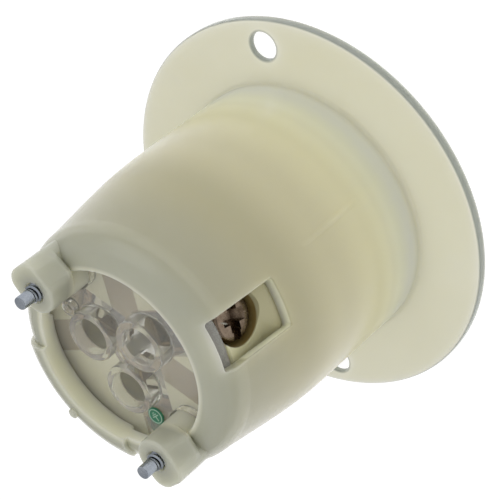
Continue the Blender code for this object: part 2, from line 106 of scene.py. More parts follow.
EAR_FLARE_X = (15.0, 23.0)   # stretch of the ear whose foot spreads
EAR_FLARE_BLEND = 3.0
LIP_DEG = (62.0, 138.0)
LIP_RISE = 1.15
NUB_DEG = 103.0
NUB_INSET = 2.6
RIB_DEG = -94.6
RIB_Z = (14.5, 33.0)
RIB_HALF_WIDTH = 0.9
RIB_RISE = 0.22
RIB_SUNK = 0.3
RIB_EDGE_SUNK = 0.02         # keeps the rib's edges just under the barrel's surface
WINDOW_HALF = 4.9
WINDOW_Z = (41.7, 57.9)
WINDOW_ROUND = 0.3
WINDOW_CORNER = 0.6
WINDOW_DEPTH = 7.0
EAR_BORE = 1.85

# ---- inside, millimetres ----
PLATE_RADIUS = 21.9
PLATE_TOP_Z = PLATE_BOTTOM_Z + 2.5
TUBE_CIRCLE = 6.9
TUBE_OUTER = 5.15
TUBE_BORE = 3.7
HUB_RADIUS = 2.3
BOSS_PLACE = (12.4, 6.4)
BOSS_RADIUS = 1.7
NOTCH_GAP = 0.4              # round the ears, in the retainer and the carrier
CARRIER_RADIUS = 22.0        # round the terminals
CARRIER_FOOT_RADIUS = 24.6
CARRIER_STEP_RADIUS = 24.1   # where it starts to draw in from the barrel's wall
CARRIER_STEP_Z = 41.6
CARRIER_STEP_RISE = 4.0
POCKET_X = (-3.8, 7.3)       # pocket of a clamp, from the wire's centre along the screw
POCKET_HALF = 4.8
POCKET_LOW = -5.3
SCREW_HOLE_RADIUS = 5.35
FACE_RADIUS = 24.9
SLOT_RADIUS = 10.5
SLOT_HALF_WIDTH = 1.1
SLOT_HALF_DEG = 22.0
FACE_GROOVE_R = (15.2, 15.6)
TERMINAL_Z = 49.4
HEAD_RADIUS = 4.95
HEAD_UNDERSIDE = 12.2
HEAD_TOP = 14.8
SHANK_RADIUS = 2.35
SHANK_START = 4.9
TERMINAL_PITCH = 0.79
SLOT_TURN_DEG = {"line": -11.0, "neutral": 35.0, "ground": 80.0}
ASSEMBLY_PITCH = 0.79

TERMINALS = {
    "neutral": {"tube": 30.0, "window": 30.0, "outer": TUBE_OUTER},
    "ground": {"tube": 150.0, "window": 150.0, "outer": TUBE_OUTER},
    "line": {"tube": -90.0, "window": -107.6, "outer": TUBE_OUTER + 0.2},
}

# steps round a circle
FINE = 180
MEDIUM = 96
SMALL = 48


# ---- mesh tools ----
def polar(radius, degrees):
    angle = math.radians(degrees)
    return radius * math.cos(angle), radius * math.sin(angle)


def arc(centre_x, centre_y, radius, start_deg, end_deg, steps):
    points = []
    for step in range(steps + 1):
        x, y = polar(radius, start_deg + (end_deg - start_deg) * step / steps)
        points.append((centre_x + x, centre_y + y))
    return points


def circle(centre_x, centre_y, radius, steps=SMALL):
    return arc(centre_x, centre_y, radius, 0.0, 360.0, steps)[:-1]


def rectangle(x0, x1, y0, y1):
    return [(x0, y0), (x1, y0), (x1, y1), (x0, y1)]


def rounded_rectangle(half_x, half_y, corner, steps):
    points = []
    for sign_x, sign_y, start in ((1, -1, 270), (1, 1, 0), (-1, 1, 90), (-1, -1, 180)):
        centre = (sign_x * (half_x - corner), sign_y * (half_y - corner))
        points += arc(*centre, corner, start, start + 90, steps)
    return points


def loft(rings):
    """Closed solid through rings of equally many 3-D points, in millimetres."""
    bm = bmesh.new()
    made = []
    for ring in rings:
        made.append([bm.verts.new(Vector(point) * MM) for point in ring])
    for lower, upper in zip(made, made[1:]):
        for index in range(len(lower)):
            after = (index + 1) % len(lower)
            bm.faces.new((lower[index], lower[after], upper[after], upper[index]))
    bm.faces.new(reversed(made[0]))
    bm.faces.new(made[-1])
    return close_mesh(bm)


def close_mesh(bm):
    bmesh.ops.remove_doubles(bm, verts=bm.verts, dist=1e-7)
    bmesh.ops.recalc_face_normals(bm, faces=bm.faces)
    mesh = bpy.data.meshes.new("shape")
    bm.to_mesh(mesh)
    bm.free()
    return mesh


def stack(layers):
    """Solid through plan outlines, each (outline, height)."""
    return loft([[(x, y, height) for x, y in outline] for outline, height in layers])


def pin(sections, centre=(0.0, 0.0), steps=SMALL):
    """Round solid along Z: sections are (height, radius)."""
    return stack([(circle(centre[0], centre[1], radius, steps), height) for height, radius in sections])


def lathe(profile, steps=FINE, start_deg=0.0, end_deg=360.0):
    """Turn a closed (radius, height) outline about Z, all round or over a sector."""
    bm = bmesh.new()
    whole = abs(end_deg - start_deg) >= 360.0
    rings = []
    for step in range(steps if whole else steps + 1):
        angle_deg = start_deg + (end_deg - start_deg) * step / steps
        ring = []
        for radius, height in profile:
            x, y = polar(radius, angle_deg)
            ring.append(bm.verts.new((x * MM, y * MM, height * MM)))
        rings.append(ring)
    pairs = list(zip(rings, rings[1:]))
    if whole:
        pairs.append((rings[-1], rings[0]))
    for first, second in pairs:
        for index in range(len(profile)):
            after = (index + 1) % len(profile)
            bm.faces.new((first[index], second[index], second[after], first[after]))
    if not whole:
        bm.faces.new(rings[0])
        bm.faces.new(reversed(rings[-1]))
    return close_mesh(bm)


def turned(mesh, degrees=0.0, shift=(0.0, 0.0, 0.0)):
    """The mesh turned about Z and moved, in place."""
    mesh.transform(Matrix.Translation(Vector(shift) * MM) @ Matrix.Rotation(math.radians(degrees), 4, "Z"))
    return mesh


def carve(base, joins=(), cuts=()):
    """Union and then difference with whole sets of meshes, returned as one mesh."""
    target = bpy.data.objects.new("carved", base)
    bpy.context.scene.collection.objects.link(target)
    spare = []
    for operation, meshes in (("UNION", joins), ("DIFFERENCE", cuts)):
        if not meshes:
            continue
        group = bpy.data.collections.new("tools_" + operation)
        for mesh in meshes:
            tool = bpy.data.objects.new("tool", mesh)
            group.objects.link(tool)
            spare.append(tool)
        step = target.modifiers.new(operation, "BOOLEAN")
        step.operation = operation
        step.solver = "EXACT"
        step.operand_type = "COLLECTION"
        step.collection = group
        bpy.context.view_layer.update()
        graph = bpy.context.evaluated_depsgraph_get()
        result = bpy.data.meshes.new_from_object(target.evaluated_get(graph))
        target.modifiers.clear()
        target.data = result
        bpy.data.collections.remove(group)
    mesh = target.data
    for extra in spare + [target]:
        bpy.data.objects.remove(extra)
    return mesh


def add_piece(name, mesh, body, look, replaced=(), sharp_deg=32.0, bevel=0.0):
    """A finished piece of the visual model, riding on its body."""
    piece = bpy.data.objects.new(name, mesh)
    bpy.context.scene.collection.objects.link(piece)
    mesh.name = name
    mesh.materials.clear()
    mesh.materials.append(look)
    mesh.shade_smooth()
    mesh.set_sharp_from_angle(angle=math.radians(sharp_deg))
    if bevel:
        rounding = piece.modifiers.new("edge_rounding", "BEVEL")
        rounding.width = bevel * MM
        rounding.segments = 2
        rounding.limit_method = "ANGLE"
        rounding.angle_limit = math.radians(sharp_deg)
    normals = piece.modifiers.new("even_normals", "WEIGHTED_NORMAL")
    normals.keep_sharp = True
    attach(piece, body)
    if replaced:
        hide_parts(*replaced)
    return piece


# ---- materials ----
SCATTER_TINT = (1.0, 0.97, 0.86)
# painted shade: grey on the flange's outer side and on the walls of its screw holes
EDGE_SHADE_GREY = (0.26, 0.28, 0.26)
# painted light: colour at each height, lightest just behind the flange and darker towards the rear end, with
# the light that passes through the nylon counted in
HOUSING_COLOURS = ((0.0, (0.67, 0.665, 0.58)), (2.2, (0.67, 0.665, 0.58)), (4.5, (0.98, 0.96, 0.74)),
                   (9.0, (0.96, 0.92, 0.62)), (12.0, (0.87, 0.82, 0.54)), (17.0, (0.74, 0.69, 0.43)),
                   (28.0, (0.60, 0.56, 0.36)), (40.0, (0.47, 0.44, 0.28)), (52.0, (0.43, 0.415, 0.295)),
                   (60.0, (0.455, 0.46, 0.375)), (66.5, (0.50, 0.505, 0.415)))
# painted light: the carrier's colour at each height, darker at the windows around 40 mm and lighter at the
# front and towards the rear opening
INNER_COLOURS = ((0.0, (0.72, 0.70, 0.55)), (40.0, (0.58, 0.55, 0.36)), (50.0, (0.62, 0.60, 0.40)),
                 (54.0, (0.72, 0.70, 0.48)))
# painted light: lightens the wall of the rear opening, which lies in shade inside the rim
MOUTH_LIGHT_COLOUR = (0.78, 0.77, 0.60)    # wall of the rear opening
# painted light: lightens the sides of the windows, where shade falls in the wall's thickness
WINDOW_WALL_LIGHT_COLOUR = (0.86, 0.84, 0.60)     # sides of the windows
HOLE_COLOUR = (0.30, 0.22, 0.08)     # stands for brass mirrored in the screw holes
NYLON_IOR = 1.53
CLEAR_IOR = 1.36
CLEAR_TRANSMISSION = 0.86


def new_material(name):
    look = bpy.data.materials.new(name)
    look.use_nodes = True
    tree = look.node_tree
    return look, tree, tree.nodes["Principled BSDF"]


def noise(tree, scale, detail=4.0, roughness=0.5, stretch=(1.0, 1.0, 1.0)):
    """Noise in object space: scale is features per metre."""
    place = tree.nodes.new("ShaderNodeTexCoord")
    squeeze = tree.nodes.new("ShaderNodeMapping")
    squeeze.inputs["Scale"].default_value = stretch
    texture = tree.nodes.new("ShaderNodeTexNoise")
    texture.inputs["Scale"].default_value = scale
    texture.inputs["Detail"].default_value = detail
    texture.inputs["Roughness"].default_value = roughness
    tree.links.new(place.outputs["Object"], squeeze.inputs["Vector"])
    tree.links.new(squeeze.outputs["Vector"], texture.inputs["Vector"])
    return texture.outputs["Fac"]


def ramp(tree, value, low, high, from_low=0.3, from_high=0.7):
    """The value spread between two numbers."""
    spread = tree.nodes.new("ShaderNodeMapRange")
    spread.inputs["From Min"].default_value = from_low
    spread.inputs["From Max"].default_value = from_high
    spread.inputs["To Min"].default_value = low
    spread.inputs["To Max"].default_value = high
    tree.links.new(value, spread.inputs["Value"])
    return spread.outputs["Result"]


def bump(tree, shader, heights):
    """Chain of bumps: (value, distance in millimetres)."""
    previous = None
    for value, distance in heights:
        node = tree.nodes.new("ShaderNodeBump")
        node.inputs["Distance"].default_value = distance * MM
        node.inputs["Strength"].default_value = 1.0
        tree.links.new(value, node.inputs["Height"])
        if previous:
            tree.links.new(previous, node.inputs["Normal"])
        previous = node.outputs["Normal"]
    tree.links.new(previous, shader.inputs["Normal"])


def coordinate(tree, axis):
    """One object-space coordinate, in millimetres."""
    place = tree.nodes.new("ShaderNodeTexCoord")
    parts = tree.nodes.new("ShaderNodeSeparateXYZ")
    tree.links.new(place.outputs["Object"], parts.inputs["Vector"])
    return calculate(tree, "MULTIPLY", parts.outputs[axis], 1.0 / MM)


def calculate(tree, operation, first, second=0.0):
    """A math node on two numbers or sockets."""
    node = tree.nodes.new("ShaderNodeMath")
    node.operation = operation
    for socket, value in zip(node.inputs, (first, second)):
        if isinstance(value, float):
            socket.default_value = value
        else:
            tree.links.new(value, socket)
    return node.outputs["Value"]


def product(tree, first, *others):
    for value in others:
        first = calculate(tree, "MULTIPLY", first, value)
    return first


def height_ramp(tree, low, high, from_z, to_z):
    return ramp(tree, coordinate(tree, "Z"), low, high, from_z, to_z)


def distance_from(tree, x, y):
    """Distance in plan, in millimetres, from the points (x, y) and (-x, y)."""
    across = calculate(tree, "SUBTRACT", calculate(tree, "ABSOLUTE", coordinate(tree, "X")), x)
    along = calculate(tree, "SUBTRACT", coordinate(tree, "Y"), y)
    squares = [product(tree, value, value) for value in (across, along)]
    return calculate(tree, "SQRT", calculate(tree, "ADD", *squares))


def mix_colours(tree, factor, first, second):
    """Mix two colours, each a tuple or a socket."""
    mixer = tree.nodes.new("ShaderNodeMix")
    mixer.data_type = "RGBA"
    tree.links.new(factor, mixer.inputs["Factor"])
    for socket, value in (("A", first), ("B", second)):
        if isinstance(value, tuple):
            mixer.inputs[socket].default_value = (*value, 1.0)
        else:
            tree.links.new(value, mixer.inputs[socket])
    return mixer.outputs["Result"]


def colours_by_height(tree, stops):
    """Colour from height: stops are (height in millimetres, colour)."""
    top = stops[-1][0]
    table = tree.nodes.new("ShaderNodeValToRGB")
    table.color_ramp.interpolation = "EASE"
    tree.links.new(calculate(tree, "DIVIDE", coordinate(tree, "Z"), top), table.inputs["Fac"])
    entries = table.color_ramp.elements
    while len(entries) < len(stops):
        entries.new(0.5)
    for entry, (height, colour) in zip(entries, stops):
        entry.position = height / top
        entry.color = (*colour, 1.0)
    return table.outputs["Color"]


def wall_depth(tree):
    """1 on faces under the barrel's outside at the height of the windows, 0 elsewhere: the mask of the
    painted light on the window sides.
    """
    past = calculate(tree, "SUBTRACT", coordinate(tree, "Z"), TAPER_START)
    squares = calculate(tree, "ADD", product(tree, past, past), TAPER_BLEND ** 2)
    root = calculate(tree, "SQRT", squares)
    narrowing = product(tree, calculate(tree, "ADD", past, root), BARREL_TAPER * 0.5)
    outside = calculate(tree, "SUBTRACT", BARREL_RADIUS, narrowing)
    depth = calculate(tree, "SUBTRACT", outside, distance_from(tree, 0.0, 0.0))
    sunk = ramp(tree, depth, 0.0, 1.0, 0.25, 0.6)
    behind = height_ramp(tree, 0.0, 1.0, WINDOW_Z[0] - 1.5, WINDOW_Z[0] - 0.5)
    before = height_ramp(tree, 1.0, 0.0, 52.5, 53.5)
    return product(tree, sunk, behind, before)


def screw_holes(tree):
    """1 within a round bar along each terminal screw's axis, right across the carrier, 0 outside.

    This takes in the walls of the screw holes, and also strips of the carrier's rear face.
    """
    inside = 0.0
    for name in TERMINALS:
        squares = []
        for row in terminal_matrix(name).inverted()[1:3]:
            parts = [product(tree, coordinate(tree, axis), row[index]) for index, axis in enumerate("XYZ")]
            total = calculate(tree, "ADD", calculate(tree, "ADD", *parts[:2]), parts[2])
            offset = calculate(tree, "ADD", total, row[3] / MM)
            squares.append(product(tree, offset, offset))
        near = ramp(tree, calculate(tree, "ADD", *squares), 1.0, 0.0, 5.6 ** 2, 5.8 ** 2)
        inside = calculate(tree, "MAXIMUM", near, inside)
    out = distance_from(tree, 0.0, 0.0)
    return product(tree, inside, ramp(tree, out, 1.0, 0.0, CARRIER_RADIUS - 0.4, CARRIER_RADIUS - 0.15))


def housing_painted_light_and_shade(tree, colour):
    """Painted light and shade: lighter near the rear opening and below the surface at the windows, grey at
    flange edges and in the flange's screw holes.
    """
    out = distance_from(tree, 0.0, 0.0)
    above = height_ramp(tree, 0.0, 1.0, REAR_RIM_Z - 4.5, REAR_RIM_Z - 3.5)
    below = height_ramp(tree, 1.0, 0.0, REAR_RIM_Z + 0.5, REAR_RIM_Z + 2.0)
    mouth = ramp(tree, out, 1.0, 0.0, OPENING_RADIUS + 0.1, OPENING_RADIUS + 1.2)
    # painted light on the wall of the rear opening
    colour = mix_colours(tree, product(tree, above, mouth, below), colour, MOUTH_LIGHT_COLOUR)
    # painted light on the sides of the windows
    colour = mix_colours(tree, wall_depth(tree), colour, WINDOW_WALL_LIGHT_COLOUR)
    # painted shade: grey on the flange's outer side
    rim = ramp(tree, out, 0.0, 1.0, FLANGE_RADIUS - 0.35, FLANGE_RADIUS - 0.1)
    colour = mix_colours(tree, rim, colour, EDGE_SHADE_GREY)
    # painted shade: grey in the flange's screw holes
    from_hole = distance_from(tree, HOLE_OFFSET, 0.0)
    bore = ramp(tree, from_hole, 1.0, 0.0, HOLE_RADIUS + 0.05, HOLE_RADIUS + 0.5)
    return mix_colours(tree, bore, colour, EDGE_SHADE_GREY)


def carrier_painted_reflection(tree, colour):
    # painted reflection: brass mirrored on the walls of the screw holes, which also lands on strips of the
    # carrier's rear face
    return mix_colours(tree, screw_holes(tree), colour, HOLE_COLOUR)


def nylon(name, stops, scatter_mm, roughness, tints):
    """Glossy natural nylon: light scatters through it, with slight clouds and moulding ripple."""
    look, tree, shader = new_material(name)
    clouds = ramp(tree, noise(tree, 38.0, 3.0, 0.5), 0.0, 0.5)
    deeper = [(height, (r * 0.95, g * 0.94, b * 0.90)) for height, (r, g, b) in stops]
    # painted light: the colours by height carry the light and shade held in the stops
    colour = mix_colours(tree, clouds, colours_by_height(tree, stops), colours_by_height(tree, deeper))
    colour = tints(tree, colour)
    tree.links.new(colour, shader.inputs["Base Color"])
    shader.inputs["Subsurface Weight"].default_value = 1.0
    shader.inputs["Subsurface Radius"].default_value = SCATTER_TINT
    shader.inputs["Subsurface Scale"].default_value = scatter_mm * MM
    shader.inputs["IOR"].default_value = NYLON_IOR
    tree.links.new(ramp(tree, noise(tree, 300.0, 5.0), roughness, roughness + 0.08),
                   shader.inputs["Roughness"])
    ripple = noise(tree, 60.0, 2.0)
    grain = noise(tree, 2600.0, 3.0, 0.6)
    bump(tree, shader, [(ripple, 0.03), (grain, 0.0006)])
    return look


def clear_plastic(name):
    """Clear polycarbonate with faint moulding streaks, which lets lamps light what is behind it."""
    look, tree, shader = new_material(name)
    shader.inputs["Transmission Weight"].default_value = CLEAR_TRANSMISSION
    shader.inputs["IOR"].default_value = CLEAR_IOR
    open_way = tree.nodes.new("ShaderNodeBsdfTransparent")
    open_way.inputs["Color"].default_value = (0.96, 0.96, 0.94, 1.0)
    path = tree.nodes.new("ShaderNodeLightPath")
    either = tree.nodes.new("ShaderNodeMixShader")
    tree.links.new(path.outputs["Is Shadow Ray"], either.inputs["Fac"])
    tree.links.new(shader.outputs["BSDF"], either.inputs[1])
    tree.links.new(open_way.outputs["BSDF"], either.inputs[2])
    tree.links.new(either.outputs["Shader"], tree.nodes["Material Output"].inputs["Surface"])
    tint = mix_colours(tree, ramp(tree, noise(tree, 90.0, 3.0), 0.0, 1.0),
                         (0.97, 0.965, 0.93), (0.93, 0.92, 0.87))
    tree.links.new(tint, shader.inputs["Base Color"])
    tree.links.new(ramp(tree, noise(tree, 500.0, 4.0), 0.015, 0.06), shader.inputs["Roughness"])
    bump(tree, shader, [(noise(tree, 150.0, 2.0), 0.03)])
    return look


def metal(name, colour, worn, roughness, grain_stretch=(1.0, 1.0, 1.0)):
    """Metal with tarnish clouds, fine scratches and uneven polish."""
    look, tree, shader = new_material(name)
    shader.inputs["Metallic"].default_value = 1.0
    clouds = noise(tree, 420.0, 6.0, 0.62)
    tree.links.new(mix_colours(tree, ramp(tree, clouds, 0.0, 1.0), colour, worn),
                   shader.inputs["Base Color"])
    scratches = noise(tree, 2400.0, 6.0, 0.7, grain_stretch)
    tree.links.new(ramp(tree, scratches, roughness, roughness + 0.22), shader.inputs["Roughness"])
    bump(tree, shader, [(scratches, 0.006)])
    return look


def painted(name, colour, worn, metallic, roughness):
    """Lacquer or paint with faint clouds and a fine grain."""
    look, tree, shader = new_material(name)
    shader.inputs["Metallic"].default_value = metallic
    clouds = noise(tree, 700.0, 5.0, 0.6)
    tree.links.new(mix_colours(tree, ramp(tree, clouds, 0.0, 1.0), colour, worn),
                   shader.inputs["Base Color"])
    tree.links.new(ramp(tree, clouds, roughness, roughness + 0.2), shader.inputs["Roughness"])
    bump(tree, shader, [(noise(tree, 2600.0, 4.0), 0.008)])
    return look


# ---- housing ----
def barrel_radius(height):
    past = height - TAPER_START
    return BARREL_RADIUS - BARREL_TAPER * 0.5 * (past + math.hypot(past, TAPER_BLEND))


def outer_radius(height):
    """Outside of the barrel, over the shoulder as well."""
    shoulder_z = REAR_RIM_Z - SHOULDER_ROUND
    if height <= shoulder_z:
        return barrel_radius(height)
    rise = min(height - shoulder_z, SHOULDER_ROUND)
    return SHOULDER_CENTRE_R + math.sqrt(SHOULDER_ROUND ** 2 - rise ** 2)


def spread(start, end, count):
    return [start + (end - start) * step / count for step in range(count + 1)]


def housing_profile():
    shoulder_z = REAR_RIM_Z - SHOULDER_ROUND
    top = FLANGE_THICKNESS
    points = [(FACE_RADIUS + 0.3, 0.3), (FACE_RADIUS + 0.6, 0.0)]
    points += [(radius, 0.0) for radius in spread(30.0, FLANGE_RADIUS - FRONT_ROUND - 0.4, 2)]
    points += arc(FLANGE_RADIUS - FRONT_ROUND, FRONT_ROUND, FRONT_ROUND, 270.0, 360.0, 4)
    points += arc(FLANGE_RADIUS - FLANGE_ROUND, top - FLANGE_ROUND, FLANGE_ROUND, 0.0, 90.0, 8)
    points += [(radius, top) for radius in (FLANGE_RADIUS - 1.5, 35.0, 30.0)]
    base = barrel_radius(top + BASE_FILLET)
    points += arc(base + BASE_FILLET, top + BASE_FILLET, BASE_FILLET, 270.0, 180.0, 6)
    points += [(barrel_radius(height), height) for height in (8.0, 14.0, 20.0, 24.0, 26.5)]
    points += [(barrel_radius(height), height) for height in spread(28.5, 42.5, 14)]
    points += [(barrel_radius(height), height) for height in (44.5, 48.0, 51.5, shoulder_z - 0.5)]
    points += arc(SHOULDER_CENTRE_R, shoulder_z, SHOULDER_ROUND, 0.0, 90.0, 20)
    points += arc(OPENING_RADIUS + OPENING_ROUND, REAR_RIM_Z - OPENING_ROUND, OPENING_ROUND, 90.0, 180.0, 5)
    points += [(OPENING_RADIUS, RIM_UNDERSIDE_Z)]
    inner_round = SHOULDER_ROUND - WALL
    start = math.degrees(math.asin((RIM_UNDERSIDE_Z - shoulder_z) / inner_round))
    points += arc(SHOULDER_CENTRE_R, shoulder_z, inner_round, start, 0.0, 6)
    inner_heights = (50.0, 44.0, 40.0, 36.0, 32.0, 28.0, 20.0)
    points += [(barrel_radius(height) - WALL, height) for height in inner_heights]
    points += [(FACE_RADIUS + 0.3, 13.0)]
    return points


def lip_profile():
    centre_z = REAR_RIM_Z - SHOULDER_ROUND + LIP_RISE
    top = REAR_RIM_Z + LIP_RISE
    points = [(OPENING_RADIUS, REAR_RIM_Z - 1.5), (22.0, 57.0)]
    points += arc(SHOULDER_CENTRE_R, centre_z, SHOULDER_ROUND, 15.0, 90.0, 18)
    points += arc(OPENING_RADIUS + OPENING_ROUND, top - OPENING_ROUND, OPENING_ROUND, 90.0, 180.0, 5)
    return points


def ear_outline(side, grow=0.0):
    half = EAR_HALF_WIDTH + grow
    corner = EAR_CORNER + grow
    outer = EAR_OUTER_END + grow
    points = arc(EAR_INNER_END + EAR_HALF_WIDTH, 0.0, half, 90.0, 270.0, 28)
    points += arc(outer - corner, -half + corner, corner, 270.0, 360.0, 10)
    points += arc(outer - corner, half - corner, corner, 0.0, 90.0, 10)
    return [(side * x, side * y) for x, y in points]


def ear_notches(bottom, top):
    """Cutters that clear both ears between two heights."""
    outlines = [ear_outline(side, NOTCH_GAP) for side in (1, -1)]
    return [stack([(outline, bottom), (outline, top)]) for outline in outlines]


def ear_foot(side, grow):
    """Ear outline whose outer part spreads where it runs into the shoulder."""
    plain = ear_outline(side)
    wide = ear_outline(side, grow)
    points = []
    for (x, y), (wide_x, wide_y) in zip(plain, wide):
        inside = min(abs(x) - EAR_FLARE_X[0], EAR_FLARE_X[1] - abs(x))
        share = min(1.0, max(0.0, inside / EAR_FLARE_BLEND))
        points.append((x, y + (wide_y - y) * share))
    return points


def ear(side):
    layers = [(ear_outline(side), EAR_BOTTOM_Z), (ear_outline(side), RIM_UNDERSIDE_Z + 0.6)]
    for height, grow in arc(REAR_RIM_Z + 0.05 + EAR_FILLET, EAR_FILLET, EAR_FILLET, 180.0, 270.0, 8):
        layers.append((ear_foot(side, EAR_FILLET - grow), height))
    for level, inset in arc(0.0, 0.0, EAR_EDGE, 0.0, 90.0, 6):
        layers.append((ear_outline(side, level - EAR_EDGE), EAR_TOP_Z - EAR_EDGE + inset))
    return stack(layers)


def window_cutter():
    """Rectangular window whose outer edge is rounded: each ring follows the barrel at one depth."""
    half_height = (WINDOW_Z[1] - WINDOW_Z[0]) / 2
    middle = (WINDOW_Z[1] + WINDOW_Z[0]) / 2
    parts = 8
    rings = []
    depths = [(-WINDOW_DEPTH, 0.0), (-WINDOW_ROUND, 0.0)]
    round_steps = 5
    for step in range(1, round_steps + 1):
        turn = math.radians(90 / round_steps * step)
        depths.append((-WINDOW_ROUND * (1 - math.sin(turn)), WINDOW_ROUND * (1 - math.cos(turn))))
    depths.append((2.0, WINDOW_ROUND + 2.0))
    for depth, growth in depths:
        ring = []
        outline = rounded_rectangle(WINDOW_HALF + growth, half_height + growth, WINDOW_CORNER + growth, 3)
        for index, (across, up) in enumerate(outline):
            following = outline[(index + 1) % len(outline)]
            for part in range(parts):
                side = across + (following[0] - across) * part / parts
                height = middle + up + (following[1] - up) * part / parts
                radius = outer_radius(min(height, REAR_RIM_Z - 1.2)) + depth
                ring.append((math.sqrt(max(radius ** 2 - side ** 2, 1.0)), side, height))
        rings.append(ring)
    return loft(rings)


def soft_rib():
    """Low rounded rib along the barrel that fades into it at both ends."""
    rings = []
    for height in spread(*RIB_Z, 24):
        share = (height - RIB_Z[0]) / (RIB_Z[1] - RIB_Z[0])
        rise = RIB_RISE * math.sin(math.pi * share) ** 0.6 - RIB_EDGE_SUNK
        surface = barrel_radius(height)
        ring = [(surface - RIB_SUNK, side, height) for side in (RIB_HALF_WIDTH, -RIB_HALF_WIDTH)]
        for side in spread(-RIB_HALF_WIDTH, RIB_HALF_WIDTH, 12):
            bulge = math.cos(math.pi / 2 * side / RIB_HALF_WIDTH) ** 2
            out = math.sqrt(surface ** 2 - side ** 2) - RIB_EDGE_SUNK + rise * bulge
            ring.append((out, side, height))
        rings.append(ring)
    return loft(rings)


def build_housing(look):
    joins = [ear(1), ear(-1), lathe(lip_profile(), 60, *LIP_DEG)]
    nub = [(REAR_RIM_Z, 1.1), (REAR_RIM_Z + LIP_RISE + 0.2, 1.0), (REAR_RIM_Z + LIP_RISE + 0.4, 0.7)]
    joins.append(pin(nub, polar(OPENING_RADIUS + NUB_INSET, NUB_DEG)))
    joins.append(turned(soft_rib(), RIB_DEG))
    cuts = [turned(window_cutter(), terminal["window"]) for terminal in TERMINALS.values()]
    for side in (1, -1):
        cuts.append(pin([(EAR_BOTTOM_Z - 1, EAR_BORE), (EAR_TOP_Z - 0.35, EAR_BORE),
                         (EAR_TOP_Z, EAR_BORE + 0.35), (EAR_TOP_Z + 1, EAR_BORE + 1.35)],
                        (side * SCREW_OFFSET, 0.0)))
        hole = [(-1.0, COUNTERSINK_RADIUS + 0.8), (0.0, COUNTERSINK_RADIUS),
                (COUNTERSINK_DEPTH, HOLE_RADIUS - 0.15),
                (FLANGE_THICKNESS - 0.25, HOLE_RADIUS - 0.1), (FLANGE_THICKNESS - 0.07, HOLE_RADIUS - 0.03),
                (FLANGE_THICKNESS, HOLE_RADIUS + 0.12), (FLANGE_THICKNESS + 1, HOLE_RADIUS + 1.2)]
        cuts.append(turned(pin(hole, (side * HOLE_OFFSET, 0.0), 64), -math.degrees(SCREW_LINE)))
    mesh = carve(lathe(housing_profile()), joins, cuts)
    turned(mesh, math.degrees(SCREW_LINE))
    return add_piece("nylon_housing", mesh, "housing", look, ["flange_housing"])


# ---- clear terminal retainer ----
def tube_sections(outer):
    base = PLATE_TOP_Z - 0.4
    sections = [(base, outer + 0.9)]
    sections += [(PLATE_TOP_Z + 0.5 - y, outer + 0.5 - x) for x, y in arc(0, 0, 0.5, 90, 0, 5)]
    sections += [(TUBE_TOP_Z - 0.45 + y, outer - 0.45 + x) for x, y in arc(0, 0, 0.45, 0, 90, 5)]
    return sections


def bore_sections():
    mouth = 0.5
    sections = [(PLATE_BOTTOM_Z - 1, TUBE_BORE), (TUBE_TOP_Z - mouth, TUBE_BORE)]
    sections += [(TUBE_TOP_Z - mouth + y, TUBE_BORE + mouth - x) for x, y in arc(0, 0, mouth, 18, 90, 4)]
    sections.append((TUBE_TOP_Z + 1, TUBE_BORE + mouth))
    return sections


def build_retainer(look):
    edge = [(PLATE_BOTTOM_Z, PLATE_RADIUS - 0.15), (PLATE_BOTTOM_Z + 0.15, PLATE_RADIUS)]
    edge += [(PLATE_TOP_Z - 1.7 + y, PLATE_RADIUS - 1.7 + x) for x, y in arc(0, 0, 1.7, 0, 90, 10)]
    joins = []
    cuts = []
    for terminal in TERMINALS.values():
        centre = polar(TUBE_CIRCLE, terminal["tube"])
        joins.append(pin(tube_sections(terminal["outer"]), centre, MEDIUM))
        cuts.append(pin(bore_sections(), centre, MEDIUM))
    joins.append(pin([(PLATE_BOTTOM_Z + 0.6, HUB_RADIUS), (PLATE_TOP_Z + 1.6, HUB_RADIUS),
                      (PLATE_TOP_Z + 1.8, HUB_RADIUS - 0.3)]))
    joins.append(pin([(PLATE_BOTTOM_Z + 0.7, BOSS_RADIUS), (PLATE_TOP_Z + 1.1, BOSS_RADIUS),
                      (PLATE_TOP_Z + 1.3, BOSS_RADIUS - 0.2)], BOSS_PLACE))
    boss_hole = [(PLATE_TOP_Z - 0.2, 0.8), (PLATE_TOP_Z + 1.1, 0.85), (PLATE_TOP_Z + 2, 1.4)]
    cuts.append(pin(boss_hole, BOSS_PLACE))
    cuts += ear_notches(PLATE_BOTTOM_Z - 1, PLATE_TOP_Z + 1)
    mesh = turned(carve(pin(edge, steps=FINE), joins, cuts), math.degrees(SCREW_LINE))
    return add_piece("clear_retainer", mesh, "housing", look,
                     ["terminal_retainer"], 30.0)


# ---- inner nylon pieces ----
def refined(name, node, body, look, bevel, sharp_deg=25.0):
    """A CAD node's own shape with its flat facets merged and its edges rounded."""
    bm = bmesh.new()
    bm.from_mesh(frame["nodes"][node].data)
    bmesh.ops.remove_doubles(bm, verts=bm.verts, dist=1e-6)
    bmesh.ops.dissolve_limit(bm, angle_limit=math.radians(1.0), verts=bm.verts, edges=bm.edges)
    mesh = bpy.data.meshes.new(name)
    bm.to_mesh(mesh)
    bm.free()
    return add_piece(name, mesh, body, look, [node], sharp_deg, bevel)


def terminal_matrix(name):
    """From a terminal's own axes, X along its screw outwards and Z up, to the frame."""
    for joint in frame["joints"]:
        if joint["child"] == "screw_" + name:
            outward = -Vector(joint["axis"])
            upward = Vector((0.0, 0.0, 1.0))
            turn = Matrix((outward, upward.cross(outward), upward)).transposed().to_4x4()
            return Matrix.Translation(Vector(joint["pos_m"])) @ turn
    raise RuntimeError("the frame has no joint for the screw of " + name)


def rod(sections, steps=SMALL):
    """Round solid along +X: sections are (distance, radius)."""
    rings = []
    for distance, radius in sections:
        rings.append([(distance, y, z) for y, z in circle(0.0, 0.0, radius, steps)])
    return loft(rings)


def block(x0, x1, y0, y1, z0, z1):
    return stack([(rectangle(x0, x1, y0, y1), z0), (rectangle(x0, x1, y0, y1), z1)])


